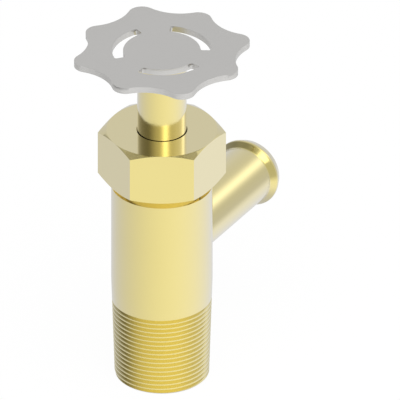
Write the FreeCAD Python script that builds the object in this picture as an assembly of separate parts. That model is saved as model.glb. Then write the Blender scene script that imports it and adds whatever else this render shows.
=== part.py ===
import FreeCAD, Part
import math
import os

# Brass drain valve with a half-inch taper inlet thread and a barbed hose outlet.
# Millimetres. The origin is the centre of the inlet end, +Z runs up the stem to the
# handwheel, and the outlet spout points along +X. The valve is shown closed.

# Inlet pipe thread, drawn as a plain cone over its crests that meets the bar above it
THREAD_TAPER = 1.0 / 16.0
THREAD_LENGTH = 19.0
THREAD_RUNOUT = 5.0
END_CHAMFER = 0.4
INLET_BORE = 12.0

# Body bar, with the shoulder that faces the packing nut
BODY_DIA = 22.2
BODY_HEIGHT = 47.4

# Seat inside the body
SEAT_HEIGHT = 21.0
ORIFICE_DIA = 8.5
ORIFICE_LENGTH = 4.0
LIP_WIDTH = 0.8
LIP_RISE = 1.0

# Swivelling disc and its rubber washer
WASHER_OVERLAP = 0.5
WASHER_THICKNESS = 2.5
WASHER_GRIP = 1.5
HOLDER_RIM = 0.35
HOLDER_WEB = 1.8
HOLDER_LIP = 1.0
FLOW_GAP = 1.1

# Stem button, the open ring that keeps it in the disc holder, and the neck above it
BUTTON_DIA = 8.0
BUTTON_HEIGHT = 2.2
BUTTON_NECK_DIA = 5.6
SHANK_DIA = 9.0
SHANK_STANDOFF = 1.0
RING_THICKNESS = 0.8
RING_GROOVE_DEPTH = 0.4
RING_GAP_ANGLE = 40.0

# Screw that holds the rubber washer
SCREW_DIA = 3.0
SCREW_HEAD_DIA = 5.5
SCREW_HEAD_HEIGHT = 1.7
SCREW_SLOT_WIDTH = 0.8
SCREW_SLOT_DEPTH = 0.8
SCREW_WASHER_DIA = 6.6
SCREW_WASHER_THICKNESS = 0.5

# Stem and its screw
STEM_DIA = 10.8
STEM_THREAD_SHOULDER = 1.1
STEM_THREAD_LENGTH = 9.0
STEM_LIFT = 4.5
STOP_GAP = 0.2
STEM_SHOW = 18.5
THREAD_CHAMFER = 0.6

# Packing, gland follower and the threaded neck round them
PACKING_SECTION = 1.75
PACKING_RINGS = 2
PACKING_WASHER_THICKNESS = 1.0
FOLLOWER_NOSE = 2.9
FOLLOWER_FLANGE = 0.8
FOLLOWER_FLANGE_WIDTH = 0.65
TAKE_UP_GAP = 0.5
NECK_WALL = 1.3

# Hexagon packing nut
NUT_ACROSS_FLATS = 24.3
NUT_HEIGHT = 11.85
NUT_WEB = 2.2
NUT_GAP = 1.85
NUT_CHAMFER_ANGLE = 25.0
NUT_HOLE_GAP = 0.15
NUT_MOUTH_CHAMFER = 0.4

# Outlet spout and its hose barb
SPOUT_ABOVE_SEAT = 10.5
SPOUT_DIA = 13.28
SPOUT_BORE = 9.5
SPOUT_REACH = 39.6
SPOUT_STEP = 0.7
PORT_DIA = 10.0
PORT_HEADROOM = 2.0
BARB_DIA = 15.48
BARB_CREST = 0.56
BARB_TAPER_LENGTH = 2.0
BARB_TIP_DIA = 13.6
BORE_CHAMFER = 0.4

# Handwheel plate: long and short lobes take turns round the rim
WHEEL_THICKNESS = 1.4
LOBE_PAIRS = 4
LONG_LOBE_REACH = 19.8
SHORT_LOBE_REACH = 18.8
LOBE_TIP_RADIUS = 3.0
VALLEY_RADIUS = 9.9
SHORT_LOBE_ANGLE = 0.0
SLOT_COUNT = 3
SLOT_INNER_RADIUS = 8.5
SLOT_WIDTH = 2.4
SLOT_SPAN_ANGLE = 79.0
SLOT_FIRST_ANGLE = -20.0
SLOT_CORNER_RADIUS = 0.5
TANG_WIDTH = 6.0
TANG_HEIGHT = 0.65
TANG_SOCKET_DEPTH = 0.7

# Clearances between pieces, each measured on the radius
RUNNING_CLEARANCE = 0.05
THREAD_CLEARANCE = 0.05
BRAZE_GAP = 0.03
LOOSE_CLEARANCE = 0.1

X_AXIS = FreeCAD.Vector(1, 0, 0)
Z_AXIS = FreeCAD.Vector(0, 0, 1)
ORIGIN = FreeCAD.Vector(0, 0, 0)

# Radii that several pieces share
body_r = BODY_DIA / 2
orifice_r = ORIFICE_DIA / 2
lip_r = orifice_r + LIP_WIDTH
washer_r = lip_r + WASHER_OVERLAP
holder_r = washer_r + HOLDER_RIM
chamber_r = holder_r + FLOW_GAP
stem_r = STEM_DIA / 2
stem_thread_r = stem_r + STEM_THREAD_SHOULDER
stuffing_r = stem_r + PACKING_SECTION
neck_r = stuffing_r + NECK_WALL
nut_hole_r = stem_r + NUT_HOLE_GAP
button_r = BUTTON_DIA / 2
screw_r = SCREW_DIA / 2
spout_r = SPOUT_DIA / 2
socket_floor_x = chamber_r + SPOUT_STEP
spout_axis_z = SEAT_HEIGHT + SPOUT_ABOVE_SEAT

# Heights of the packing stack, from the nut down
nut_bottom_z = BODY_HEIGHT + NUT_GAP
nut_top_z = nut_bottom_z + NUT_HEIGHT
web_z = nut_top_z - NUT_WEB
flange_z = web_z - FOLLOWER_FLANGE
neck_top_z = flange_z - TAKE_UP_GAP
nose_z = flange_z - FOLLOWER_NOSE
packing_z = nose_z - PACKING_RINGS * PACKING_SECTION
ledge_z = packing_z - PACKING_WASHER_THICKNESS

# Heights of the taper cone, of the stem's screw and of the chamber
cone_top_z = THREAD_LENGTH + THREAD_RUNOUT
stem_thread_top_z = ledge_z - STOP_GAP - STEM_LIFT
stem_thread_bottom_z = stem_thread_top_z - STEM_THREAD_LENGTH
chamber_floor_z = SEAT_HEIGHT - LIP_RISE
chamber_top_z = spout_axis_z + PORT_DIA / 2 + PORT_HEADROOM
inlet_bore_depth = SEAT_HEIGHT - ORIFICE_LENGTH

# Heights of the disc, which rests on the seat
washer_top_z = SEAT_HEIGHT + WASHER_THICKNESS
holder_bottom_z = washer_top_z - WASHER_GRIP
holder_floor_z = washer_top_z + HOLDER_WEB
button_bottom_z = holder_floor_z + LOOSE_CLEARANCE
button_top_z = button_bottom_z + BUTTON_HEIGHT
ring_bottom_z = button_top_z + LOOSE_CLEARANCE
ring_top_z = ring_bottom_z + RING_THICKNESS
holder_top_z = ring_top_z + HOLDER_LIP
shank_bottom_z = holder_top_z + SHANK_STANDOFF

# Heights of the handwheel
wheel_bottom_z = nut_top_z + STEM_SHOW
wheel_top_z = wheel_bottom_z + WHEEL_THICKNESS


def revolve_z(outline):
    """Closed solid from (radius, height) corners, turned about the Z axis."""
    points = [FreeCAD.Vector(radius, 0, height) for radius, height in outline]
    wire = Part.makePolygon(points + [points[0]])
    return Part.Face(wire).revolve(ORIGIN, Z_AXIS, 360)


def cylinder_z(radius, bottom, top):
    return Part.makeCylinder(radius, top - bottom, FreeCAD.Vector(0, 0, bottom), Z_AXIS)


def ring_z_axis(inner, outer, bottom, top):
    return revolve_z([(inner, bottom), (outer, bottom), (outer, top), (inner, top)])


def polar(radius, angle):
    """Point in the XY plane, with the angle in radians."""
    return FreeCAD.Vector(radius * math.cos(angle), radius * math.sin(angle), 0)


def crest_radius(height):
    """Radius of the taper thread's crests at a height above the inlet end."""
    return body_r - (cone_top_z - height) * THREAD_TAPER / 2


def body_outside():
    """Bar, taper cone and threaded neck in one outline."""
    return revolve_z([
        (0, 0),
        (crest_radius(0) - END_CHAMFER, 0),
        (crest_radius(END_CHAMFER), END_CHAMFER),
        (body_r, cone_top_z),
        (body_r, BODY_HEIGHT),
        (neck_r, BODY_HEIGHT),
        (neck_r, neck_top_z - THREAD_CHAMFER),
        (neck_r - THREAD_CHAMFER, neck_top_z),
        (0, neck_top_z),
    ])


def body_inside():
    """Everything bored out along the axis, from the inlet to the stuffing box."""
    thread_r = stem_thread_r + THREAD_CLEARANCE
    inlet_r = INLET_BORE / 2
    return revolve_z([
        (0, 0),
        (inlet_r + BORE_CHAMFER, 0),
        (inlet_r, BORE_CHAMFER),
        (inlet_r, inlet_bore_depth),
        (orifice_r, inlet_bore_depth + inlet_r - orifice_r),
        (orifice_r, SEAT_HEIGHT),
        (lip_r, SEAT_HEIGHT),
        (lip_r, chamber_floor_z),
        (chamber_r, chamber_floor_z),
        (chamber_r, chamber_top_z),
        (thread_r, chamber_top_z + chamber_r - thread_r),
        (thread_r, ledge_z),
        (stuffing_r, ledge_z),
        (stuffing_r, neck_top_z),
        (0, neck_top_z),
    ])


def make_valve_body():
    """Body with its bores and the stepped socket for the spout."""
    axis_start = FreeCAD.Vector(0, 0, spout_axis_z)
    socket_start = FreeCAD.Vector(socket_floor_x, 0, spout_axis_z)
    port = Part.makeCylinder(PORT_DIA / 2, body_r, axis_start, X_AXIS)
    socket = Part.makeCylinder(spout_r + BRAZE_GAP, body_r, socket_start, X_AXIS)
    return body_outside().cut(body_inside()).cut(port).cut(socket)


def make_outlet_spout():
    """Tube with one hose barb: a steep back, a narrow crest and a long front taper."""
    bore_r = SPOUT_BORE / 2
    barb_r = BARB_DIA / 2
    crest_end = SPOUT_REACH - BARB_TAPER_LENGTH
    crest_start = crest_end - BARB_CREST
    back_start = crest_start - (barb_r - spout_r)
    outline = [
        (bore_r, socket_floor_x),
        (spout_r, socket_floor_x),
        (spout_r, back_start),
        (barb_r, crest_start),
        (barb_r, crest_end),
        (BARB_TIP_DIA / 2, SPOUT_REACH),
        (bore_r + BORE_CHAMFER, SPOUT_REACH),
        (bore_r, SPOUT_REACH - BORE_CHAMFER),
    ]
    spout = revolve_z(outline)
    spout.rotate(ORIGIN, FreeCAD.Vector(0, 1, 0), 90)
    spout.translate(FreeCAD.Vector(0, 0, spout_axis_z))
    return spout


def hexagon_prism(across_flats, bottom, height):
    """Six-sided bar with a corner on +X."""
    corner_r = across_flats / 2 / math.cos(math.pi / 6)
    corners = [polar(corner_r, math.radians(60 * i)) for i in range(7)]
    prism = Part.Face(Part.makePolygon(corners)).extrude(FreeCAD.Vector(0, 0, height))
    prism.translate(FreeCAD.Vector(0, 0, bottom))
    return prism


def make_packing_nut():
    """Hexagon whose corners are turned off by a shallow cone at both ends."""
    flat_r = NUT_ACROSS_FLATS / 2
    corner_r = flat_r / math.cos(math.pi / 6)
    drop = (corner_r - flat_r) * math.tan(math.radians(NUT_CHAMFER_ANGLE))
    turned = revolve_z([
        (0, nut_bottom_z),
        (flat_r, nut_bottom_z),
        (corner_r, nut_bottom_z + drop),
        (corner_r, nut_top_z - drop),
        (flat_r, nut_top_z),
        (0, nut_top_z),
    ])
    thread_r = neck_r + THREAD_CLEARANCE
    inside = revolve_z([
        (0, nut_bottom_z),
        (thread_r + NUT_MOUTH_CHAMFER, nut_bottom_z),
        (thread_r, nut_bottom_z + NUT_MOUTH_CHAMFER),
        (thread_r, web_z),
        (nut_hole_r, web_z),
        (nut_hole_r, nut_top_z),
        (0, nut_top_z),
    ])
    return hexagon_prism(NUT_ACROSS_FLATS, nut_bottom_z, NUT_HEIGHT).common(turned).cut(inside)


def make_gland_follower():
    """Flanged ring: the nose presses the packing and the flange takes the nut's web."""
    inner = stem_r + RUNNING_CLEARANCE
    nose_r = stuffing_r - RUNNING_CLEARANCE
    flange_r = stuffing_r + FOLLOWER_FLANGE_WIDTH
    return revolve_z([
        (inner, nose_z),
        (nose_r, nose_z),
        (nose_r, flange_z),
        (flange_r, flange_z),
        (flange_r, web_z),
        (inner, web_z),
    ])


def make_packing_ring(index):
    """Square-section ring, slightly narrower than the box so that it lies free."""
    bottom = packing_z + index * PACKING_SECTION
    inner = stem_r + RUNNING_CLEARANCE
    outer = stuffing_r - RUNNING_CLEARANCE
    return ring_z_axis(inner, outer, bottom, bottom + PACKING_SECTION)


def make_packing_washer():
    inner = stem_r + RUNNING_CLEARANCE
    return ring_z_axis(inner, stuffing_r - RUNNING_CLEARANCE, ledge_z, packing_z)


def make_stem():
    """Button, neck, shank, screw and plain shaft in one outline, with a square tang."""
    turned = revolve_z([
        (0, button_bottom_z),
        (button_r - LOOSE_CLEARANCE, button_bottom_z),
        (button_r - LOOSE_CLEARANCE, button_top_z),
        (BUTTON_NECK_DIA / 2, button_top_z),
        (BUTTON_NECK_DIA / 2, shank_bottom_z),
        (SHANK_DIA / 2, shank_bottom_z),
        (SHANK_DIA / 2, stem_thread_bottom_z),
        (stem_thread_r - THREAD_CHAMFER, stem_thread_bottom_z),
        (stem_thread_r, stem_thread_bottom_z + THREAD_CHAMFER),
        (stem_thread_r, stem_thread_top_z),
        (stem_r, stem_thread_top_z),
        (stem_r, wheel_bottom_z),
        (0, wheel_bottom_z),
    ])
    corner = FreeCAD.Vector(-TANG_WIDTH / 2, -TANG_WIDTH / 2, wheel_bottom_z)
    return turned.fuse(Part.makeBox(TANG_WIDTH, TANG_WIDTH, TANG_HEIGHT, corner))


def make_disc_holder():
    """Cup with the rubber washer's recess below and the stem's socket above."""
    groove_r = button_r + RING_GROOVE_DEPTH
    hole_r = screw_r + THREAD_CLEARANCE
    return revolve_z([
        (hole_r, washer_top_z),
        (washer_r, washer_top_z),
        (washer_r, holder_bottom_z),
        (holder_r, holder_bottom_z),
        (holder_r, holder_top_z),
        (button_r, holder_top_z),
        (button_r, ring_top_z),
        (groove_r, ring_top_z),
        (groove_r, ring_bottom_z),
        (button_r, ring_bottom_z),
        (button_r, holder_floor_z),
        (hole_r, holder_floor_z),
    ])


def make_swivel_ring():
    """Open spring ring: its outer part lies in the holder's groove, its inner part
    over the stem's button."""
    outer = button_r + RING_GROOVE_DEPTH
    inner = outer - RING_THICKNESS
    low = FreeCAD.Vector(inner, 0, ring_bottom_z)
    section = Part.makePlane(RING_THICKNESS, RING_THICKNESS, low, FreeCAD.Vector(0, 1, 0))
    ring = section.revolve(ORIGIN, Z_AXIS, 360 - RING_GAP_ANGLE)
    ring.rotate(ORIGIN, Z_AXIS, RING_GAP_ANGLE / 2)
    return ring


def make_seat_washer():
    hole_r = screw_r + LOOSE_CLEARANCE
    return ring_z_axis(hole_r, washer_r - RUNNING_CLEARANCE, SEAT_HEIGHT, washer_top_z)


def make_screw_washer():
    hole_r = screw_r + LOOSE_CLEARANCE
    bottom = SEAT_HEIGHT - SCREW_WASHER_THICKNESS
    return ring_z_axis(hole_r, SCREW_WASHER_DIA / 2, bottom, SEAT_HEIGHT)


def make_washer_screw():
    """Slotted cheese-head screw that comes up from below through both washers."""
    head_top = SEAT_HEIGHT - SCREW_WASHER_THICKNESS
    head_bottom = head_top - SCREW_HEAD_HEIGHT
    head = cylinder_z(SCREW_HEAD_DIA / 2, head_bottom, head_top)
    shaft = cylinder_z(screw_r, head_top, holder_floor_z)
    slot_corner = FreeCAD.Vector(-SCREW_HEAD_DIA, -SCREW_SLOT_WIDTH / 2, head_bottom)
    slot = Part.makeBox(2 * SCREW_HEAD_DIA, SCREW_SLOT_WIDTH, SCREW_SLOT_DEPTH, slot_corner)
    return head.fuse(shaft).cut(slot)


def arc_between(centre, radius, start, end):
    """The shorter arc about a centre, through a point midway between its ends."""
    middle = (start - centre) + (end - centre)
    middle.normalize()
    return Part.Arc(start, centre + middle * radius, end).toShape()


def wheel_outline():
    """Closed rim of tangent arcs: a tip arc for each lobe and a hollow arc between."""
    pitch = math.pi / LOBE_PAIRS
    lobe_count = 2 * LOBE_PAIRS
    reaches = [SHORT_LOBE_REACH, LONG_LOBE_REACH] * LOBE_PAIRS
    first = math.radians(SHORT_LOBE_ANGLE)
    tips = [polar(reaches[i] - LOBE_TIP_RADIUS, first + i * pitch) for i in range(lobe_count)]
    valleys = []
    for i in range(lobe_count):
        here = tips[i]
        there = tips[(i + 1) % lobe_count]
        half_span = (there - here).Length / 2
        middle = (here + there) * 0.5
        across = (there - here).normalize()
        outward = middle - across * middle.dot(across)
        outward.normalize()
        rise = math.sqrt((LOBE_TIP_RADIUS + VALLEY_RADIUS) ** 2 - half_span ** 2)
        valleys.append(middle + outward * rise)
    edges = []
    for i in range(lobe_count):
        tip = tips[i]
        before = tip + (valleys[i - 1] - tip).normalize() * LOBE_TIP_RADIUS
        after = tip + (valleys[i] - tip).normalize() * LOBE_TIP_RADIUS
        following = tips[(i + 1) % lobe_count]
        landing = following + (valleys[i] - following).normalize() * LOBE_TIP_RADIUS
        edges.append(arc_between(tip, LOBE_TIP_RADIUS, before, after))
        edges.append(arc_between(valleys[i], VALLEY_RADIUS, after, landing))
    return Part.Wire(edges)


def wheel_slot(mid_angle):
    """Sector of a ring with its four upright edges rounded."""
    outer = cylinder_z(SLOT_INNER_RADIUS + SLOT_WIDTH, wheel_bottom_z, wheel_top_z)
    inner = cylinder_z(SLOT_INNER_RADIUS, wheel_bottom_z, wheel_top_z)
    half = math.radians(SLOT_SPAN_ANGLE / 2)
    far = 2 * LONG_LOBE_REACH
    corners = [ORIGIN, polar(far, -half), polar(far, half), ORIGIN]
    wedge = Part.Face(Part.makePolygon(corners)).extrude(Z_AXIS * WHEEL_THICKNESS)
    wedge.translate(Z_AXIS * wheel_bottom_z)
    sector = outer.cut(inner).common(wedge)
    upright = [edge for edge in sector.Edges if abs(edge.tangentAt(edge.FirstParameter).z) > 0.99]
    slot = sector.makeFillet(SLOT_CORNER_RADIUS, upright)
    slot.rotate(ORIGIN, Z_AXIS, mid_angle)
    return slot


def make_handwheel():
    """Stamped plate with curved slots and a blind square socket for the stem's tang."""
    plate = Part.Face(wheel_outline()).extrude(Z_AXIS * WHEEL_THICKNESS)
    plate.translate(Z_AXIS * wheel_bottom_z)
    for i in range(SLOT_COUNT):
        plate = plate.cut(wheel_slot(SLOT_FIRST_ANGLE + i * 360 / SLOT_COUNT))
    width = TANG_WIDTH + 2 * RUNNING_CLEARANCE
    corner = FreeCAD.Vector(-width / 2, -width / 2, wheel_bottom_z)
    return plate.cut(Part.makeBox(width, width, TANG_SOCKET_DEPTH, corner))


def all_pieces():
    return {
        "valve_body": make_valve_body(),
        "outlet_spout": make_outlet_spout(),
        "packing_nut": make_packing_nut(),
        "gland_follower": make_gland_follower(),
        "packing_ring_lower": make_packing_ring(0),
        "packing_ring_upper": make_packing_ring(1),
        "packing_washer": make_packing_washer(),
        "stem": make_stem(),
        "handwheel": make_handwheel(),
        "disc_holder": make_disc_holder(),
        "swivel_ring": make_swivel_ring(),
        "seat_washer": make_seat_washer(),
        "screw_washer": make_screw_washer(),
        "washer_screw": make_washer_screw(),
    }


def main():
    os.makedirs("parts", exist_ok=True)
    for node, shape in all_pieces().items():
        shape.exportStep("parts/" + node + ".step")
        print(node, "solids", len(shape.Solids), "volume", round(shape.Volume, 1), "valid", shape.isValid())


main()
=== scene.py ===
# %% [markdown]
# # A brass drain valve
#
# A drain valve screws into the bottom of a tank. Its handwheel lifts a rubber disc off a
# seat, and the water leaves through a hose spout on the side. This lesson dresses a valve
# whose pieces already stand where they belong: a turned body with a taper pipe thread, a
# spout with one hose barb, a hexagon packing nut, a plain stem and a stamped handwheel.
#
# The pieces come in as a fixed frame, in metres. The origin is the centre of the inlet end,
# +Z runs up the stem to the handwheel and +X runs out along the spout. Nothing here moves
# them. A new piece is made right where its frame piece stands, at the same outer size.

import math

import bmesh
import bpy
from mathutils import Matrix, Vector


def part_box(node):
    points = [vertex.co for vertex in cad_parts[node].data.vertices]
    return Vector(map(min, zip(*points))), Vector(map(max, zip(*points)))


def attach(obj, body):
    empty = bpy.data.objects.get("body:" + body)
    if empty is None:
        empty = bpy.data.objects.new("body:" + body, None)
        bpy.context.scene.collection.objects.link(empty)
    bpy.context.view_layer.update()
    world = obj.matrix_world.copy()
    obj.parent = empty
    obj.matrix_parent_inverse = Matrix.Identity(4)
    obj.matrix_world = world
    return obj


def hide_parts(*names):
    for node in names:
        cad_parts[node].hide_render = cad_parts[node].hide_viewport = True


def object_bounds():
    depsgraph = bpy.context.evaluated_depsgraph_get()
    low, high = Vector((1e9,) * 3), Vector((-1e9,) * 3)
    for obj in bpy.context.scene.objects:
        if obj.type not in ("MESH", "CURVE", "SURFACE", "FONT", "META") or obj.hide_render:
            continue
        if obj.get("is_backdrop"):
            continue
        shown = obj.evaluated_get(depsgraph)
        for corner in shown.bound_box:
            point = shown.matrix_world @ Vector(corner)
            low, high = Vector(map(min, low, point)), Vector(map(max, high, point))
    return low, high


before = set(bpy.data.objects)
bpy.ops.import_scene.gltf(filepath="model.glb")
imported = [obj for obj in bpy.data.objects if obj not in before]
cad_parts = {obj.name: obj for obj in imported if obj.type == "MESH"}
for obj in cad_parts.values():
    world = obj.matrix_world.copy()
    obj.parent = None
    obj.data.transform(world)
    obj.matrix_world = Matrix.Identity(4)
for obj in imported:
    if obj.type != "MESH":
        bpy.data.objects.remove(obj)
cad_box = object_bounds()
MM = 0.001

# %% [markdown]
# Each new piece takes its outer sizes from the box of the frame piece that it stands for,
# so that the two agree to the last digit.

# %% Places and sizes that come from the frame
body_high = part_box("valve_body")[1]
nut_low, nut_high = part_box("packing_nut")
spout_low, spout_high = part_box("outlet_spout")
stem_low, stem_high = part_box("stem")
wheel_low, wheel_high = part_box("handwheel")
body_r = body_high.x
spout_axis = (spout_low.z + spout_high.z) / 2
print("body radius", round(body_r / MM, 2), "mm, spout axis at", round(spout_axis / MM, 2), "mm")

# %% [markdown]
# ## Turning, cutting and softening
#
# Nearly every piece of a valve is bar stock that was turned on a lathe, so most pieces start
# as half a section: a closed outline of radius and height. One full spin makes the solid,
# as the lathe does. The spin leaves a seam, which a merge of doubles closes, and the
# normals are worked out again because a spin can leave them pointing inwards.

# %% Turn an outline into a solid
SPIN_STEPS = 144
WELD = 0.0005 * MM


def turned(outline, solid=False):
    """Spin (radius, height) points once round Z. A solid starts and ends on the axis."""
    bm = bmesh.new()
    points = [bm.verts.new((radius, 0, height)) for radius, height in outline]
    ends = points[1:] if solid else points[1:] + points[:1]
    lines = [bm.edges.new(pair) for pair in zip(points, ends)]
    bmesh.ops.spin(bm, geom=points + lines, cent=(0, 0, 0), axis=(0, 0, 1), dvec=(0, 0, 0),
                   angle=2 * math.pi, steps=SPIN_STEPS, use_merge=True)
    bmesh.ops.remove_doubles(bm, verts=bm.verts, dist=WELD)
    bmesh.ops.recalc_face_normals(bm, faces=bm.faces)
    return bm


# %% [markdown]
# Cross holes, hexagon flats and threads aren't turned: a drill, a mill and a threading tool
# cut them. A Boolean is the same step here. The blank and the cutter are both closed, and
# the cutter runs a little past the surface, so that no two faces lie on each other.

# %% Cut one solid with another
def as_object(name, bm):
    """The bmesh as an object in the scene. The bmesh itself is used up."""
    mesh = bpy.data.meshes.new(name)
    bm.to_mesh(mesh)
    bm.free()
    made = bpy.data.objects.new(name, mesh)
    bpy.context.scene.collection.objects.link(made)
    return made


def machined(blank, cutter, operation="DIFFERENCE"):
    """The blank after one cut, as a new bmesh. Both inputs are used up."""
    work = as_object("blank", blank)
    tool = as_object("cutter", cutter)
    cut = work.modifiers.new("cut", "BOOLEAN")
    cut.object = tool
    cut.operation = operation
    cut.solver = "EXACT"
    graph = bpy.context.evaluated_depsgraph_get()
    result = bmesh.new()
    result.from_mesh(work.evaluated_get(graph).to_mesh())
    for used in (work, tool):
        mesh = used.data
        bpy.data.objects.remove(used)
        bpy.data.meshes.remove(mesh)
    bmesh.ops.remove_doubles(result, verts=result.verts, dist=WELD)
    return result


# %% [markdown]
# A real edge is never quite sharp. Deburring rounds it by about a tenth of a millimetre, and
# that is what catches the light. A bevel of every edge above a limit angle does it.

# %% Break the sharp edges
SHARP_ANGLE = math.radians(20)
EDGE_SEGMENTS = 2


def soften(bm, width, spared=()):
    """Round every edge that turns by more than the sharp angle, but for the spared ones."""
    sharp = [edge for edge in bm.edges
             if edge.is_manifold and edge.calc_face_angle() > SHARP_ANGLE and edge not in spared]
    bmesh.ops.bevel(bm, geom=sharp, offset=width, offset_type="OFFSET", segments=EDGE_SEGMENTS,
                    profile=0.5, affect="EDGES", material=-1, clamp_overlap=True)
    bmesh.ops.remove_doubles(bm, verts=bm.verts, dist=WELD)
    return bm


# %% [markdown]
# Each finished piece rides on a body of the frame and stands for the frame's own node, which is
# hidden, and it gets the finish that it is given. It's shaded smooth, but for edges that turn too
# much.
# Normals are then weighted by face area, so that a flat or a long wall keeps its own
# normal up to its edge, and only the small rounds between them bend the light.

# %% Hand a piece over to the frame
SHADING_ANGLE = math.radians(50)


def finished(name, bm, body, node, material):
    """Make the object, shade it, and let it stand for its node."""
    bmesh.ops.recalc_face_normals(bm, faces=bm.faces)
    piece = as_object(name, bm)
    piece.data.shade_smooth()
    piece.data.set_sharp_from_angle(angle=SHADING_ANGLE)
    piece.data.materials.append(material)
    weighted = piece.modifiers.new("weighted_normals", "WEIGHTED_NORMAL")
    weighted.keep_sharp = True
    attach(piece, body)
    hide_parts(node)
    print(name, "has", len(piece.data.polygons), "faces and stands for", node)


# %% [markdown]
# ## Finishes
#
# Brass is copper and zinc. Its face-on reflection is a pale yellow, and it turns to the
# white of the surroundings where the surface slants away. A metallic Principled shader
# whitens only in the last few degrees. Polished brass under a thin film of lacquer does so
# much sooner, so a white gloss is mixed in by Layer Weight's Facing, raised to a power.
#
# A turned surface also carries the tool's rings. A noise that is stretched along the ring
# and fine along the axis gives them, as a very small bump. Broad clouds change the colour
# and the gloss a little, so that the metal never looks like one flat tone.

# %% Small helpers for node trees
def new_material(name):
    """An empty node material and its tree."""
    material = bpy.data.materials.new(name)
    material.use_nodes = True
    material.node_tree.nodes.clear()
    return material, material.node_tree


def add_node(tree, kind, **inputs):
    """A node whose sockets are set by name, with spaces written as underscores."""
    node = tree.nodes.new(kind)
    for key, value in inputs.items():
        node.inputs[key.replace("_", " ")].default_value = value
    return node


def math_node(tree, operation, *values):
    """One operation on one or two values, each a number or another node's output."""
    node = tree.nodes.new("ShaderNodeMath")
    node.operation = operation
    for socket, value in zip(node.inputs, values):
        if isinstance(value, (int, float)):
            socket.default_value = value
        else:
            tree.links.new(value, socket)
    return node.outputs["Value"]


def noise(tree, stretch, detail):
    """A 0 to 1 noise on Object coordinates, stretched by a Mapping node."""
    place = tree.nodes.new("ShaderNodeTexCoord")
    mapping = add_node(tree, "ShaderNodeMapping", Scale=stretch)
    texture = add_node(tree, "ShaderNodeTexNoise", Scale=1.0, Detail=detail)
    tree.links.new(place.outputs["Object"], mapping.inputs["Vector"])
    tree.links.new(mapping.outputs["Vector"], texture.inputs["Vector"])
    return texture.outputs["Fac"]


def spread(tree, source, middle, share):
    """A 0 to 1 value turned into one that strays from the middle by a share each way."""
    node = tree.nodes.new("ShaderNodeMapRange")
    node.inputs["To Min"].default_value = middle * (1 - share)
    node.inputs["To Max"].default_value = middle * (1 + share)
    tree.links.new(source, node.inputs["Value"])
    return node.outputs["Result"]


def blended(tree, source, colour, other):
    """One colour that a 0 to 1 value turns into another."""
    ramp = tree.nodes.new("ShaderNodeValToRGB")
    ramp.color_ramp.elements[0].color = colour
    ramp.color_ramp.elements[1].color = other
    tree.links.new(source, ramp.inputs["Fac"])
    return ramp.outputs["Color"]


# %% Brass
BRASS_COLOUR = (0.897, 0.768, 0.288, 1)
BRASS_WARM = (0.885, 0.750, 0.272, 1)
GLOSS_COLOUR = (1.0, 0.99, 0.97, 1)
WHITEN_POWER = 1.5
BUMP_HEIGHT = 0.02 * MM
RING_DETAIL = 2.0
CLOUD_SCALE = (90, 90, 90)
CLOUD_DETAIL = 3.0
GLOSS_SHARE = 0.15


def lacquer_share(tree):
    """How much of the lacquer's white gloss shows, more where the surface slants away."""
    facing = add_node(tree, "ShaderNodeLayerWeight", Blend=0.5)
    return math_node(tree, "POWER", facing.outputs["Facing"], WHITEN_POWER)


def brass(name, ring_stretch, roughness, ring_depth):
    """Turned brass whose rings run round the axis that ring_stretch picks."""
    material, tree = new_material(name)
    output = tree.nodes.new("ShaderNodeOutputMaterial")
    metal = add_node(tree, "ShaderNodeBsdfPrincipled", Metallic=1.0)
    gloss = add_node(tree, "ShaderNodeBsdfAnisotropic", Color=GLOSS_COLOUR)
    mixed = tree.nodes.new("ShaderNodeMixShader")

    clouds = noise(tree, CLOUD_SCALE, CLOUD_DETAIL)
    tree.links.new(blended(tree, clouds, BRASS_COLOUR, BRASS_WARM), metal.inputs["Base Color"])
    cloudy_roughness = spread(tree, clouds, roughness, GLOSS_SHARE)
    bump = add_node(tree, "ShaderNodeBump", Strength=ring_depth, Distance=BUMP_HEIGHT)
    tree.links.new(noise(tree, ring_stretch, RING_DETAIL), bump.inputs["Height"])
    for shader in (metal, gloss):
        tree.links.new(cloudy_roughness, shader.inputs["Roughness"])
        tree.links.new(bump.outputs["Normal"], shader.inputs["Normal"])

    tree.links.new(lacquer_share(tree), mixed.inputs["Fac"])
    tree.links.new(metal.outputs["BSDF"], mixed.inputs[1])
    tree.links.new(gloss.outputs["BSDF"], mixed.inputs[2])
    tree.links.new(mixed.outputs["Shader"], output.inputs["Surface"])
    return material


RING_FINE = 9000
RING_LONG = 25
ROUND_Z = (RING_LONG, RING_LONG, RING_FINE)
ROUND_X = (RING_FINE, RING_LONG, RING_LONG)
brass_upright = brass("brass_turned_upright", ROUND_Z, roughness=0.12, ring_depth=0.12)
brass_spout = brass("brass_turned_spout", ROUND_X, roughness=0.14, ring_depth=0.12)
brass_hexagon = brass("brass_drawn_hexagon", ROUND_Z, roughness=0.08, ring_depth=0.03)
brass_plain = brass("brass_plain_inside", ROUND_Z, roughness=0.3, ring_depth=0.4)
brasses = (brass_upright, brass_spout, brass_hexagon, brass_plain)
print("brass finishes:", [material.name for material in brasses])

# %% [markdown]
# The other finishes have no rings. The wheel's coat is a satin metallic paint, the packing
# is pressed fibre, the seat washer is moulded rubber and the spring ring is rolled strip.
# Each is a Principled shader with two close colours in broad clouds, so that it never looks
# like one flat tone, and with a fine grain for its gloss and its bump.

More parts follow.
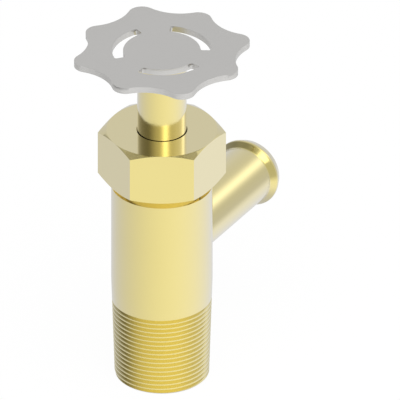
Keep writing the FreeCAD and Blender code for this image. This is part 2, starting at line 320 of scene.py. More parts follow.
# %% Satin coating, rubber, packing and spring steel
COAT_GREYS = ((0.655, 0.646, 0.630, 1), (0.638, 0.630, 0.614, 1))
RUBBER_BLACKS = ((0.020, 0.020, 0.020, 1), (0.030, 0.030, 0.030, 1))
PACKING_WHITES = ((0.80, 0.79, 0.75, 1), (0.74, 0.73, 0.69, 1))
SPRING_GREYS = ((0.56, 0.56, 0.57, 1), (0.50, 0.50, 0.52, 1))
BROAD_SCALE = (60, 60, 60)
BROAD_DETAIL = 2.0
GRAIN_DETAIL = 4.0
GRAIN_SHARE = 0.2


def plain_finish(name, colours, roughness, grain, grain_depth, metallic=0.0):
    """Two close colours in broad clouds, and a fine grain that stirs the gloss and the bump."""
    material, tree = new_material(name)
    output = tree.nodes.new("ShaderNodeOutputMaterial")
    surface = add_node(tree, "ShaderNodeBsdfPrincipled", Metallic=metallic)
    broad = noise(tree, BROAD_SCALE, BROAD_DETAIL)
    fine = noise(tree, (grain, grain, grain), GRAIN_DETAIL)
    bump = add_node(tree, "ShaderNodeBump", Strength=grain_depth, Distance=BUMP_HEIGHT)
    tree.links.new(blended(tree, broad, *colours), surface.inputs["Base Color"])
    tree.links.new(spread(tree, fine, roughness, GRAIN_SHARE), surface.inputs["Roughness"])
    tree.links.new(fine, bump.inputs["Height"])
    tree.links.new(bump.outputs["Normal"], surface.inputs["Normal"])
    tree.links.new(surface.outputs["BSDF"], output.inputs["Surface"])
    return material


wheel_coat = plain_finish("satin_grey_coat", COAT_GREYS, roughness=0.22, grain=4000,
                          grain_depth=0.1, metallic=0.85)
rubber = plain_finish("black_rubber", RUBBER_BLACKS, roughness=0.7, grain=3000, grain_depth=0.3)
packing = plain_finish("white_packing", PACKING_WHITES, roughness=0.8, grain=2500, grain_depth=0.4)
spring = plain_finish("spring_steel", SPRING_GREYS, roughness=0.3, grain=5000, grain_depth=0.1,
                      metallic=1.0)
others = (wheel_coat, rubber, packing, spring)
print("other finishes:", [material.name for material in others])

# %% [markdown]
# ## The screw threads
#
# A thread is one V groove that climbs round the bar. The threading tool's section is a
# narrow trapezium, and a spin that also climbs a little at every step sweeps it into a
# helix. A taper is added afterwards, by moving each point further out the higher it lies. In
# the last quarter turn the tool is drawn away from the bar, so the groove runs out.

# %% The threading tool's path
THREAD_STEPS = 96
HALF_V = math.radians(30)
CREST_SHARE = 1 / 8
ROOT_SHARE = 1 / 16
TOOL_OVERSHOOT = 0.07 * MM
RUN_OUT_TURNS = 0.25


def turns_at(point, start, pitch):
    """How many turns a point of the helix has climbed, from its angle and its height."""
    part = math.atan2(point.y, point.x) / (2 * math.pi)
    return part + round((point.z - start) / pitch - part)


def thread_cutter(crest_r, pitch, start, end, taper=0.0,
                  crest_share=CREST_SHARE, root_share=ROOT_SHARE):
    """A closed helical V between two heights, right-handed, with the given taper on radius."""
    root_half = root_share * pitch / 2
    depth = (pitch * (1 - crest_share) / 2 - root_half) / math.tan(HALF_V)
    top_half = root_half + (depth + TOOL_OVERSHOOT) * math.tan(HALF_V)
    section = [(crest_r - depth, -root_half), (crest_r + TOOL_OVERSHOOT, -top_half),
               (crest_r + TOOL_OVERSHOOT, top_half), (crest_r - depth, root_half)]
    turns = (end - start) / pitch
    steps = round(turns * THREAD_STEPS)

    bm = bmesh.new()
    corners = [bm.verts.new((radius, 0, start + height)) for radius, height in section]
    sides = [bm.edges.new(pair) for pair in zip(corners, corners[1:] + corners[:1])]
    bmesh.ops.spin(bm, geom=corners + sides, cent=(0, 0, 0), axis=(0, 0, 1),
                   dvec=(0, 0, pitch / THREAD_STEPS), angle=2 * math.pi * steps / THREAD_STEPS,
                   steps=steps, use_merge=False)
    ends = [edge for edge in bm.edges if edge.is_boundary]
    bmesh.ops.holes_fill(bm, edges=ends, sides=len(section))

    for vert in bm.verts:
        turn = turns_at(vert.co, start, pitch)
        lift = min(max(turn - turns + RUN_OUT_TURNS, 0.0) / RUN_OUT_TURNS, 1.0)
        radius = math.hypot(vert.co.x, vert.co.y)
        away = radius + (start + turn * pitch) * taper + lift * (depth + TOOL_OVERSHOOT)
        vert.co.x *= away / radius
        vert.co.y *= away / radius
    bmesh.ops.recalc_face_normals(bm, faces=bm.faces)
    return bm


# %% [markdown]
# ## The body
#
# One bar holds the inlet thread, the seat, the chamber and the neck for the packing nut.
# Its outline runs up the outside and back down through the bores, so that a view up the
# inlet or into the spout finds real walls. The taper cone, a sixteenth on the diameter,
# meets the bar a few millimetres above the last thread.

# %% Body sizes
INLET_CREST_R = 10.35 * MM
INLET_TAPER = 1 / 32
INLET_THREAD_START = -0.95 * MM
INLET_THREAD_END = 19.33 * MM
INLET_PITCH = 1.108 * MM
INLET_CREST_SHARE = 0.22
INLET_BORE_R = 6.0 * MM
END_CHAMFER = 0.4 * MM
SHOULDER_Z = 47.4 * MM
NECK_R = 8.45 * MM
NECK_CHAMFER = 0.6 * MM
PACKING_BOX_R = 7.15 * MM
PACKING_BOX_Z = 50.7 * MM
SCREW_BORE_R = 6.55 * MM
CHAMBER_R = 7.0 * MM
CHAMBER_LOW = 20.0 * MM
CHAMBER_HIGH = 38.5 * MM
SEAT_Z = 21.0 * MM
SEAT_LIP_R = 5.05 * MM
ORIFICE_R = 4.25 * MM
INLET_BORE_Z = 17.0 * MM
EDGE_BREAK = 0.08 * MM
cone_top = (body_r - INLET_CREST_R) / INLET_TAPER
neck_top = body_high.z
print("the taper cone meets the bar at", round(cone_top / MM, 2), "mm")


def body_outline():
    """Up the outside from the inlet end, then down through the bores."""
    chamfer_r = INLET_CREST_R + END_CHAMFER * INLET_TAPER
    return [
        (INLET_CREST_R - END_CHAMFER, 0),
        (chamfer_r, END_CHAMFER),
        (body_r, cone_top),
        (body_r, SHOULDER_Z),
        (NECK_R, SHOULDER_Z),
        (NECK_R, neck_top - NECK_CHAMFER),
        (NECK_R - NECK_CHAMFER, neck_top),
        (PACKING_BOX_R, neck_top),
        (PACKING_BOX_R, PACKING_BOX_Z),
        (SCREW_BORE_R, PACKING_BOX_Z),
        (SCREW_BORE_R, CHAMBER_HIGH + CHAMBER_R - SCREW_BORE_R),
        (CHAMBER_R, CHAMBER_HIGH),
        (CHAMBER_R, CHAMBER_LOW),
        (SEAT_LIP_R, CHAMBER_LOW),
        (SEAT_LIP_R, SEAT_Z),
        (ORIFICE_R, SEAT_Z),
        (ORIFICE_R, INLET_BORE_Z + INLET_BORE_R - ORIFICE_R),
        (INLET_BORE_R, INLET_BORE_Z),
        (INLET_BORE_R, END_CHAMFER),
        (INLET_BORE_R + END_CHAMFER, 0),
    ]


# %% [markdown]
# The spout sits in a socket in the body's side, with a smaller port behind it. One stepped
# drill cuts both. The rim of the shoulder under the nut stays sharp, because a rounded one
# would show as a dark line round the bar.

# %% Turn the body, cut both threads, then drill the port and its socket
NECK_PITCH = 1.0 * MM
NECK_THREAD_START = 50.0 * MM
PORT_R = 5.0 * MM
SOCKET_R = 6.67 * MM
SPOUT_FOOT_X = spout_low.x

along_x = Matrix.Rotation(math.radians(90), 4, "Y")
at_spout = Matrix.Translation((0, 0, spout_axis)) @ along_x


def stepped_drill():
    """The port's drill and the wider socket cutter in one tool, lying along +X."""
    reach = body_r + MM
    bm = turned([(0, 0), (PORT_R, 0), (PORT_R, SPOUT_FOOT_X), (SOCKET_R, SPOUT_FOOT_X),
                 (SOCKET_R, reach), (0, reach)], solid=True)
    bmesh.ops.transform(bm, matrix=at_spout, verts=bm.verts)
    return bm


def on_shoulder(vert):
    """True on the shoulder's outer rim, which the nut covers."""
    return abs(vert.co.z - SHOULDER_Z) < WELD and vert.co.xy.length > NECK_R + WELD


body_blank = turned(body_outline())
under_nut = {edge for edge in body_blank.edges if all(map(on_shoulder, edge.verts))}
soften(body_blank, EDGE_BREAK, spared=under_nut)
print("edges left sharp under the nut:", len(under_nut))
inlet_tool = thread_cutter(INLET_CREST_R, INLET_PITCH, INLET_THREAD_START, INLET_THREAD_END,
                           INLET_TAPER, INLET_CREST_SHARE)
neck_tool = thread_cutter(NECK_R, NECK_PITCH, NECK_THREAD_START, neck_top + NECK_PITCH)
body_cut = machined(machined(machined(body_blank, inlet_tool), neck_tool), stepped_drill())
finished("turned_body", body_cut, "valve", "valve_body", brass_upright)

# %% [markdown]
# ## The hose spout
#
# A tube with one barb. The barb's back is steep, so that the hose can't slip off, its crest
# is narrow, and its front tapers so that the hose goes on. The outline is drawn along Z,
# then the solid is laid over so that its axis points along +X.

# %% Turn the spout
SPOUT_R = 6.64 * MM
SPOUT_BORE_R = 4.75 * MM
BARB_CREST = 0.56 * MM
BARB_FRONT = 2.0 * MM
BARB_TIP_R = 6.8 * MM
SPOUT_EDGE = 0.20 * MM
spout_end = spout_high.x
barb_r = spout_high.y
print("barb radius", round(barb_r / MM, 2), "mm")


def spout_outline():
    """The tube's outside, the barb, the end face and the bore."""
    crest_end = spout_end - BARB_FRONT
    crest_start = crest_end - BARB_CREST
    back_start = crest_start - (barb_r - SPOUT_R)
    return [
        (SPOUT_BORE_R, SPOUT_FOOT_X),
        (SPOUT_R, SPOUT_FOOT_X),
        (SPOUT_R, back_start),
        (barb_r, crest_start),
        (barb_r, crest_end),
        (BARB_TIP_R, spout_end),
        (SPOUT_BORE_R + END_CHAMFER, spout_end),
        (SPOUT_BORE_R, spout_end - END_CHAMFER),
    ]


spout_bm = soften(turned(spout_outline()), SPOUT_EDGE)
bmesh.ops.transform(spout_bm, matrix=at_spout, verts=spout_bm.verts)
finished("hose_spout", spout_bm, "valve", "outlet_spout", brass_spout)

# %% [markdown]
# ## The packing nut
#
# Hexagon bar, faced and chamfered on the lathe. The chamfer is a shallow cone, and where it
# meets the six flats it leaves their curved upper edges. The way to model it is the way it
# is made: the common part of a hexagon prism and a turned blank that holds the bore.

# %% Cut the nut from hexagon bar
NUT_CHAMFER = math.radians(25)
NUT_HOLE_R = 5.6 * MM
NUT_THREAD_R = 8.5 * MM
NUT_MOUTH_CHAMFER = 0.1 * MM
NUT_WEB_Z = 58.9 * MM
NUT_EDGE = 0.07 * MM
OVERSIZE = 0.3 * MM
HALF_FLAT_ANGLE = math.radians(30)
flat_r = nut_high.y
corner_r = flat_r / math.cos(HALF_FLAT_ANGLE)


def thicken(bm, height):
    """Extrude a flat face upwards into a closed block of the given height."""
    grown = bmesh.ops.extrude_face_region(bm, geom=bm.faces[:])["geom"]
    top = [item for item in grown if isinstance(item, bmesh.types.BMVert)]
    bmesh.ops.translate(bm, verts=top, vec=(0, 0, height))
    bmesh.ops.recalc_face_normals(bm, faces=bm.faces)


def nut_blank():
    """The turned blank: cones at both ends, and the bore with its web."""
    blank_r = corner_r + OVERSIZE
    drop = (blank_r - flat_r) * math.tan(NUT_CHAMFER)
    return turned([
        (flat_r, nut_low.z),
        (blank_r, nut_low.z + drop),
        (blank_r, nut_high.z - drop),
        (flat_r, nut_high.z),
        (NUT_HOLE_R, nut_high.z),
        (NUT_HOLE_R, NUT_WEB_Z),
        (NUT_THREAD_R, NUT_WEB_Z),
        (NUT_THREAD_R, nut_low.z + NUT_MOUTH_CHAMFER),
        (NUT_THREAD_R + NUT_MOUTH_CHAMFER, nut_low.z),
    ])


def hexagon_bar():
    """Six-sided bar with a corner on +X, a little longer than the nut."""
    bm = bmesh.new()
    bmesh.ops.create_circle(bm, cap_ends=True, segments=6, radius=corner_r)
    bmesh.ops.rotate(bm, verts=bm.verts, matrix=Matrix.Rotation(HALF_FLAT_ANGLE, 3, "Z"))
    bmesh.ops.translate(bm, verts=bm.verts, vec=(0, 0, nut_low.z - MM))
    thicken(bm, nut_high.z - nut_low.z + 2 * MM)
    return bm


nut_bm = soften(machined(nut_blank(), hexagon_bar(), "INTERSECT"), NUT_EDGE)
finished("hexagon_nut", nut_bm, "valve", "packing_nut", brass_hexagon)

# %% [markdown]
# ## The stem
#
# The stem shows only as a plain shaft between the nut and the handwheel. Below the packing
# it carries the screw that lifts it, a shank, and the button that swivels in the disc
# holder. On top a square tang keys the handwheel.

# %% Turn the stem, cut its screw and add the tang
STEM_R = 5.4 * MM
STEM_SCREW_R = 6.5 * MM
STEM_SCREW_LOW = 37.0 * MM
STEM_SCREW_HIGH = 46.0 * MM
STEM_SCREW_CHAMFER = 0.6 * MM
STEM_LEAD = 1.5 * MM
STEM_CREST_SHARE = 0.3
STEM_ROOT_SHARE = 0.25
SHANK_R = 4.5 * MM
SHANK_LOW = 30.5 * MM
BUTTON_R = 3.9 * MM
BUTTON_TOP = 27.6 * MM
BUTTON_NECK_R = 2.8 * MM
TANG_WIDTH = 6.0 * MM
stem_foot = stem_low.z
stem_top = wheel_low.z


def stem_outline():
    """From the button up to the plain top, as a solid about the axis."""
    return [
        (0, stem_foot),
        (BUTTON_R, stem_foot),
        (BUTTON_R, BUTTON_TOP),
        (BUTTON_NECK_R, BUTTON_TOP),
        (BUTTON_NECK_R, SHANK_LOW),
        (SHANK_R, SHANK_LOW),
        (SHANK_R, STEM_SCREW_LOW),
        (STEM_SCREW_R - STEM_SCREW_CHAMFER, STEM_SCREW_LOW),
        (STEM_SCREW_R, STEM_SCREW_LOW + STEM_SCREW_CHAMFER),
        (STEM_SCREW_R, STEM_SCREW_HIGH),
        (STEM_R, STEM_SCREW_HIGH),
        (STEM_R, stem_top),
        (0, stem_top),
    ]


def square_block(width, low, high):
    """An upright block of square section on the axis, between two heights."""
    bm = bmesh.new()
    place = Matrix.Translation((0, 0, (low + high) / 2))
    size = Matrix.Diagonal((width, width, high - low, 1))
    bmesh.ops.create_cube(bm, size=1.0, matrix=place @ size)
    return bm


stem_tool = thread_cutter(STEM_SCREW_R, STEM_LEAD, STEM_SCREW_LOW - STEM_LEAD,
                          STEM_SCREW_HIGH + STEM_LEAD, crest_share=STEM_CREST_SHARE,
                          root_share=STEM_ROOT_SHARE)
stem_blank = soften(turned(stem_outline(), solid=True), EDGE_BREAK)
tang = square_block(TANG_WIDTH, stem_top - MM, stem_high.z)
stem_bm = machined(machined(stem_blank, stem_tool), tang, "UNION")
finished("screwed_stem", stem_bm, "stem_and_wheel", "stem", brass_upright)

# %% [markdown]
# ## The handwheel
#
# A steel blank with eight lobes and three curved slots, stamped in one stroke and coated
# grey. Long and short lobes take turns. The rim is a chain of arcs: a tip arc round each
# lobe's centre, and a hollow arc that touches both neighbours from outside. The flat face
# is filled between the rim and the slots, then extruded to the plate's thickness.

# %% Arcs of the rim
LOBES = 8
LONG_REACH = 19.8 * MM
SHORT_REACH = 18.8 * MM
TIP_R = 3.0 * MM
HOLLOW_R = 9.9 * MM
TIP_POINTS = 14
HOLLOW_POINTS = 12


def on_circle(centre, radius, angle):
    """The point of a level circle at an angle."""
    return centre + Vector((radius * math.cos(angle), radius * math.sin(angle), 0))


def arc(centre, radius, start, end, count):
    """Points from one angle to another, the shorter way round."""
    turn = math.remainder(end - start, 2 * math.pi)
    angles = [start + turn * step / count for step in range(count + 1)]
    return [on_circle(centre, radius, angle) for angle in angles]


def bearing(origin, target):
    """The angle of one point seen from another."""
    return math.atan2(target.y - origin.y, target.x - origin.x)


def rim_points():
    """Tip and hollow arcs in turn, with shared end points left out once."""
    tips = []
    for lobe in range(LOBES):
        reach = LONG_REACH if lobe % 2 else SHORT_REACH
        tips.append(on_circle(Vector(), reach - TIP_R, 2 * math.pi * lobe / LOBES))
    hollows = []
    for here, there in zip(tips, tips[1:] + tips[:1]):
        middle = (here + there) / 2
        across = (there - here).normalized()
        outward = Vector((across.y, -across.x, 0))
        rise = math.sqrt((TIP_R + HOLLOW_R) ** 2 - ((there - here).length / 2) ** 2)
        hollows.append(middle + outward * rise)
    rim = []
    for lobe in range(LOBES):
        tip, before, after = tips[lobe], hollows[lobe - 1], hollows[lobe]
        following = tips[(lobe + 1) % LOBES]
        rim += arc(tip, TIP_R, bearing(tip, before), bearing(tip, after), TIP_POINTS)[:-1]
        rim += arc(after, HOLLOW_R, bearing(after, tip), bearing(after, following), HOLLOW_POINTS)[:-1]
    return rim


# %% [markdown]
# The three slots are sectors of a ring. Each one starts as a closed loop with square
# corners, and its corners are rounded later by one bevel of the plate's upright edges.

# %% Slots of the wheel
SLOTS = 3
SLOT_INNER_R = 8.5 * MM
SLOT_OUTER_R = 10.9 * MM
SLOT_SPAN = math.radians(79)
SLOT_FIRST = math.radians(-20)
SLOT_CORNER_R = 0.5 * MM
SLOT_POINTS = 20


def closed_loop(bm, points):
    """A ring of edges through the points."""
    ring = [bm.verts.new(point) for point in points]
    for pair in zip(ring, ring[1:] + ring[:1]):
        bm.edges.new(pair)


def add_slot(bm, middle):
    """The loop of a ring sector about a middle angle."""
    start, end = middle - SLOT_SPAN / 2, middle + SLOT_SPAN / 2
    outer = arc(Vector(), SLOT_OUTER_R, start, end, SLOT_POINTS)
    inner = arc(Vector(), SLOT_INNER_R, end, start, SLOT_POINTS)
    closed_loop(bm, outer + inner)


# %% Fill and extrude the wheel's plate
CORNER_ANGLE = math.radians(60)
CORNER_SEGMENTS = 4


def is_corner(edge):
    """True on an upright edge that turns sharply, as only the slots' corners do."""
    upright = (edge.verts[0].co - edge.verts[1].co).xy.length < WELD
    return upright and edge.calc_face_angle() > CORNER_ANGLE


wheel_bm = bmesh.new()
closed_loop(wheel_bm, rim_points())
for slot in range(SLOTS):
    add_slot(wheel_bm, SLOT_FIRST + 2 * math.pi * slot / SLOTS)
bmesh.ops.translate(wheel_bm, verts=wheel_bm.verts, vec=(0, 0, wheel_low.z))
bmesh.ops.triangle_fill(wheel_bm, use_beauty=True, use_dissolve=False, edges=wheel_bm.edges[:],
                        normal=(0, 0, 1))
thicken(wheel_bm, wheel_high.z - wheel_low.z)
corners = [edge for edge in wheel_bm.edges if is_corner(edge)]
bmesh.ops.bevel(wheel_bm, geom=corners, offset=SLOT_CORNER_R, offset_type="OFFSET",
                segments=CORNER_SEGMENTS, profile=0.5, affect="EDGES", material=-1,
                clamp_overlap=True)
print("wheel plate:", len(wheel_bm.faces), "faces,", len(corners), "slot corners rounded")

# %% [markdown]
# The punch leaves the edges a little round. Under the plate a square socket takes the
# stem's tang, so that the wheel can't slip on the stem. The top stays plain.

# %% Deburr the plate and cut the tang's socket
WHEEL_EDGE = 0.06 * MM
TANG_SOCKET_WIDTH = 6.1 * MM
TANG_SOCKET_DEPTH = 0.7 * MM
tang_socket = square_block(TANG_SOCKET_WIDTH, wheel_low.z - MM, wheel_low.z + TANG_SOCKET_DEPTH)
wheel_bm = machined(soften(wheel_bm, WHEEL_EDGE), tang_socket)
finished("stamped_handwheel", wheel_bm, "stem_and_wheel", "handwheel", wheel_coat)

# %% [markdown]
# ## The pieces inside
#
# The packing, its washer, its follower and the whole disc stay the frame's own pieces,
# because their shapes are right. They only need their finishes: plain turned brass, white
# packing, black rubber and spring steel. The inlet bore shows the screw and the rubber from
# below.

# %% Finishes of the frame's own pieces
inner_finishes = {
    "gland_follower": brass_plain,
    "packing_ring_lower": packing,
    "packing_ring_upper": packing,
    "packing_washer": brass_plain,
    "disc_holder": brass_plain,
    "swivel_ring": spring,
    "seat_washer": rubber,
    "screw_washer": brass_plain,
    "washer_screw": brass_plain,
}
for node, material in inner_finishes.items():
    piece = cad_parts[node]
    piece.data.materials.clear()
    piece.data.materials.append(material)
print("dressed", len(inner_finishes), "inner pieces")

# %% [markdown]
# ## Floor, light and camera
#
# The floor is white to the camera, and keeps a small share of its real shade, so that the
# valve still has a faint shadow. Polished metal on an even white would look flat, so the
# floor is clear to a mirror ray, which goes on to the lower half of the studio's world.
# That half is pale too, but a little shaded, as between white and grey studio cards.

# %% Directions as the camera sees them
CAMERA_AZIMUTH = math.radians(-60)
CAMERA_ELEVATION = math.radians(30)
to_right = Vector((math.cos(CAMERA_AZIMUTH), math.sin(CAMERA_AZIMUTH), 0))
to_front = Vector((math.sin(CAMERA_AZIMUTH), -math.cos(CAMERA_AZIMUTH), 0))
upwards = Vector((0, 0, 1))


def heading(azimuth, elevation):
    """Unit vector by azimuth, counted from the camera's side towards its right."""
    sideways = to_front * math.cos(azimuth) + to_right * math.sin(azimuth)
    return sideways * math.cos(elevation) + upwards * math.sin(elevation)


to_camera = heading(0, CAMERA_ELEVATION)
print("camera looks from", [round(value, 3) for value in to_camera])

# %% Floor
FLOOR_SIZE = 3.0
FLOOR_FILL = 0.96
FLOOR_GAP = 0.02 * MM
FLOOR_GREY = (0.9, 0.9, 0.9, 1)
WHITE = (1, 1, 1, 1)


def pale_floor():
    """Nearly white to camera and transmission rays, clear to mirror rays, plain to the rest."""
    material, tree = new_material("pale_floor")
    output = tree.nodes.new("ShaderNodeOutputMaterial")
    shade = add_node(tree, "ShaderNodeBsdfDiffuse", Color=FLOOR_GREY)
    white = add_node(tree, "ShaderNodeEmission", Color=WHITE)
    clear = tree.nodes.new("ShaderNodeBsdfTransparent")
    filled = tree.nodes.new("ShaderNodeMixShader")
    opened = tree.nodes.new("ShaderNodeMixShader")
    rays = tree.nodes.new("ShaderNodeLightPath").outputs
    seen = math_node(tree, "MAXIMUM", rays["Is Camera Ray"], rays["Is Transmission Ray"])
    tree.links.new(math_node(tree, "MULTIPLY", seen, FLOOR_FILL), filled.inputs["Fac"])
    tree.links.new(shade.outputs["BSDF"], filled.inputs[1])
    tree.links.new(white.outputs["Emission"], filled.inputs[2])
    tree.links.new(rays["Is Glossy Ray"], opened.inputs["Fac"])
    tree.links.new(filled.outputs["Shader"], opened.inputs[1])
    tree.links.new(clear.outputs["BSDF"], opened.inputs[2])
    tree.links.new(opened.outputs["Shader"], output.inputs["Surface"])
    return material


floor_bm = bmesh.new()
bmesh.ops.create_grid(floor_bm, x_segments=1, y_segments=1, size=FLOOR_SIZE / 2)
bmesh.ops.translate(floor_bm, verts=floor_bm.verts, vec=(0, 0, -FLOOR_GAP))
floor = as_object("floor", floor_bm)
floor.data.materials.append(pale_floor())
floor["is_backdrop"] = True
print("floor:", FLOOR_SIZE, "m wide")

# %% [markdown]
# The studio is a world of soft light. Its level changes with the azimuth: dim on the left,
# medium in front, on the right and behind. The dim left side gives the dark stripe that
# makes brass look polished. A colour ramp holds the levels, a radial gradient runs it once
# round the horizon, and towards the zenith the levels fade into one.

# %% Levels round the horizon
# Degrees from the camera's side towards its right, and the level there
WORLD_STOPS = (
    (-180, 0.65), (-151, 0.60), (-143, 0.36), (-111, 0.20), (-90, 0.17), (-68, 0.17), (-55, 0.22),
    (-40, 0.34), (-25, 0.48), (-8, 0.57), (60, 0.56), (94, 0.70), (110, 0.58), (180, 0.65),
)
ZENITH_LEVEL = 0.42
LEVEL_REACH = 1.2

world = bpy.data.worlds.new("studio")
bpy.context.scene.world = world
world.use_nodes = True
sky = world.node_tree
sky.nodes.clear()
direction = sky.nodes.new("ShaderNodeTexCoord").outputs["Generated"]


def along(way):
    """How far the ray's direction reaches along a fixed one."""
    node = sky.nodes.new("ShaderNodeVectorMath")
    node.operation = "DOT_PRODUCT"
    node.inputs[1].default_value = way
    sky.links.new(direction, node.inputs[0])
    return node.outputs["Value"]


height = along(upwards)
height_squared = math_node(sky, "MULTIPLY", height, height)
level_part = math_node(sky, "SQRT", math_node(sky, "SUBTRACT", 1.0, height_squared))


def azimuth_level():
    """The level at each azimuth, from a ramp that runs once round the horizon."""
    flat = sky.nodes.new("ShaderNodeCombineXYZ")
    sky.links.new(along(to_front), flat.inputs["X"])
    sky.links.new(along(to_right), flat.inputs["Y"])
    turn = sky.nodes.new("ShaderNodeTexGradient")
    turn.gradient_type = "RADIAL"
    sky.links.new(flat.outputs["Vector"], turn.inputs["Vector"])
    ramp = sky.nodes.new("ShaderNodeValToRGB")
    stops = ramp.color_ramp.elements
    # New stops start in the middle of the ramp, and the next loop puts them in their places
    while len(stops) < len(WORLD_STOPS):
        stops.new(0.5)
    for stop, (degrees, value) in zip(stops, WORLD_STOPS):
        stop.position = (degrees + 180) / 360
        stop.color = (value, value, value, 1)
    sky.links.new(turn.outputs["Fac"], ramp.inputs["Fac"])
    share = math_node(sky, "MINIMUM", math_node(sky, "MULTIPLY", level_part, LEVEL_REACH), 1.0)
    offset = math_node(sky, "SUBTRACT", ramp.outputs["Color"], ZENITH_LEVEL)
    return math_node(sky, "ADD", math_node(sky, "MULTIPLY", offset, share), ZENITH_LEVEL)


print("levels round the horizon:", len(WORLD_STOPS))

# %% [markdown]
# Below the horizon lies the pale ground, which mirror rays meet in place of the floor. It
# is brightest in front on the right, and a little darker right underneath. It comes in over
# a wide band of heights, so that no hard line crosses the brass.

# %% Pale ground
GROUND_LEVEL = 0.82
GROUND_SWING = 0.1975
GROUND_BEARING = math.radians(40)
GROUND_START = 0.17
GROUND_WIDTH = 0.34
SHADE_START = 0.66
SHADE_DROP = 0.25


def eased(value, start, end):
    """0 before the start, 1 after the end, with a soft change between."""
    ease = sky.nodes.new("ShaderNodeMapRange")
    ease.interpolation_type = "SMOOTHSTEP"
    ease.inputs["From Min"].default_value = start
    ease.inputs["From Max"].default_value = end
    sky.links.new(value, ease.inputs["Value"])
    return ease.outputs["Result"]


def pale_ground(depth):
    """The level below, brighter towards one bearing and less right underneath."""
    swing = math_node(sky, "MULTIPLY", along(heading(GROUND_BEARING, 0)), GROUND_SWING)
    shade = math_node(sky, "MULTIPLY", eased(depth, SHADE_START, 1.0), SHADE_DROP)
    return math_node(sky, "SUBTRACT", math_node(sky, "ADD", swing, GROUND_LEVEL), shade)


def with_ground(level):
    """The level above the horizon, which the ground's own replaces further down."""
    depth = math_node(sky, "MULTIPLY", height, -1.0)
    share = eased(depth, GROUND_START, GROUND_START + GROUND_WIDTH)
    change = math_node(sky, "SUBTRACT", pale_ground(depth), level)
    return math_node(sky, "ADD", level, math_node(sky, "MULTIPLY", change, share))


print("ground level in front on the right:", round(GROUND_LEVEL + GROUND_SWING, 2))

# %% [markdown]
# A tall soft box in front and a low round glow on the right give every upright turned
# surface its two bright stripes, and a high glow on the right lights the small rounded
# edges. Two faint glows high at the back lift the chamfers and the threads' flanks. The last
# one, high on the left and of negative strength, stands for a dark card.

# %% Soft boxes and the finished world
# Azimuth, lower end, upper end, strength, tightness
TALL_BOX = (math.radians(17), math.radians(27), math.radians(55), 1.40, 25)
LOWER_SOFTNESS = math.radians(2.6)
UPPER_SOFTNESS = math.radians(10.4)
# Azimuth, elevation, strength, tightness
GLOWS = (
    (math.radians(119), math.radians(30), 0.72, 40),
    (math.radians(65), math.radians(60), 1.30, 20),
    (math.radians(-130), math.radians(60), 0.12, 12),
    (math.radians(130), math.radians(60), 0.12, 12),
    (math.radians(-71), math.radians(49), -0.09, 40),
)


def peak(closeness, tightness):
    """1 at full closeness, falling off sooner the higher the tightness."""
    return math_node(sky, "POWER", math_node(sky, "MAXIMUM", closeness, 0.0), tightness)


def round_glow(azimuth, elevation, strength, tightness):
    """A soft round light, brightest at its middle."""
    nearness = along(heading(azimuth, elevation))
    return math_node(sky, "MULTIPLY", peak(nearness, tightness), strength)


def tall_box(azimuth, low, high, strength, tightness):
    """A standing light between two elevations, brightest along its middle line."""
    facing = math_node(sky, "DIVIDE", along(heading(azimuth, 0)), level_part)
    above = eased(height, math.sin(low), math.sin(low + LOWER_SOFTNESS))
    past = eased(height, math.sin(high), math.sin(high + UPPER_SOFTNESS))
    span = math_node(sky, "SUBTRACT", above, past)
    lit = math_node(sky, "MULTIPLY", peak(facing, tightness), span)
    return math_node(sky, "MULTIPLY", lit, strength)


level = math_node(sky, "ADD", with_ground(azimuth_level()), tall_box(*TALL_BOX))
for glow_place in GLOWS:
    level = math_node(sky, "ADD", level, round_glow(*glow_place))
background = add_node(sky, "ShaderNodeBackground", Color=WHITE)
world_output = sky.nodes.new("ShaderNodeOutputWorld")
sky.links.new(level, background.inputs["Strength"])
sky.links.new(background.outputs["Background"], world_output.inputs["Surface"])
print("round glows:", len(GLOWS))

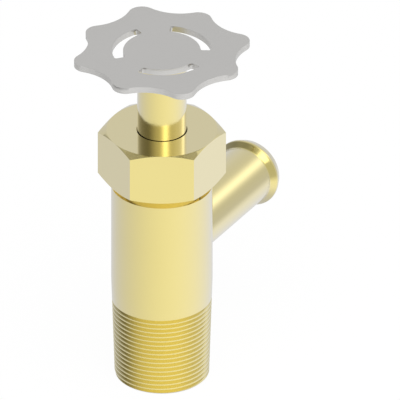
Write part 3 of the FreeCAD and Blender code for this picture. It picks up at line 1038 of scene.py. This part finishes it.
# %% [markdown]
# Rubber, packing and the floor hardly mirror anything, and the world alone lights them too
# weakly. A wide disk lamp above adds to it. Mirror rays don't see the lamp, so it puts no
# stripe on the brass.

# %% Overhead light for what isn't metal
LAMP_HEIGHT = 0.8
LAMP_SIZE = 0.9
LAMP_WATTS = 6.0

overhead = bpy.data.lights.new("overhead", "AREA")
overhead.shape = "DISK"
overhead.size = LAMP_SIZE
overhead.energy = LAMP_WATTS
overhead_holder = bpy.data.objects.new("overhead", overhead)
overhead_holder.location = to_front * LAMP_HEIGHT / 2 + upwards * LAMP_HEIGHT
overhead_holder.rotation_euler = overhead_holder.location.to_track_quat("Z", "Y").to_euler()
overhead_holder.visible_glossy = False
bpy.context.scene.collection.objects.link(overhead_holder)
print("lamp", round(overhead_holder.location.length, 2), "m from the valve")

# %% [markdown]
# Lines that are parallel on the valve stay parallel in the picture, so the camera is an
# orthographic one. It looks down at 30 degrees, with the spout turned away to the right.

# %% Camera
FRAME_WIDTH = 87.52 * MM
AIM_RIGHT = 8.34 * MM
AIM_UP = 37.4 * MM
CAMERA_DISTANCE = 0.6
picture_up = to_camera.cross(to_right)
target = to_right * AIM_RIGHT + picture_up * AIM_UP
camera_data = bpy.data.cameras.new("camera")
camera_data.type = "ORTHO"
camera_data.ortho_scale = FRAME_WIDTH
camera = bpy.data.objects.new("camera", camera_data)
facing_valve = to_camera.to_track_quat("Z", "Y").to_matrix().to_4x4()
camera.matrix_world = Matrix.Translation(target + to_camera * CAMERA_DISTANCE) @ facing_valve
bpy.context.scene.collection.objects.link(camera)
bpy.context.scene.camera = camera
bpy.context.scene.view_settings.view_transform = "Standard"
print("the picture is", round(FRAME_WIDTH / MM, 2), "mm wide")

# %% [markdown]
# ## Compare the sizes
#
# The dressed valve is meant to stay in the frame's box. The two boxes are compared, and their largest
# difference is printed.

# %% Compare the two boxes
seen_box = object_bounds()
sizes = {"cad": [list(corner) for corner in cad_box], "visual": [list(corner) for corner in seen_box]}
pairs = zip(sum(sizes["cad"], []), sum(sizes["visual"], []))
largest = max(abs(built - given) for given, built in pairs)
print("largest difference", round(largest / MM, 3), "mm")
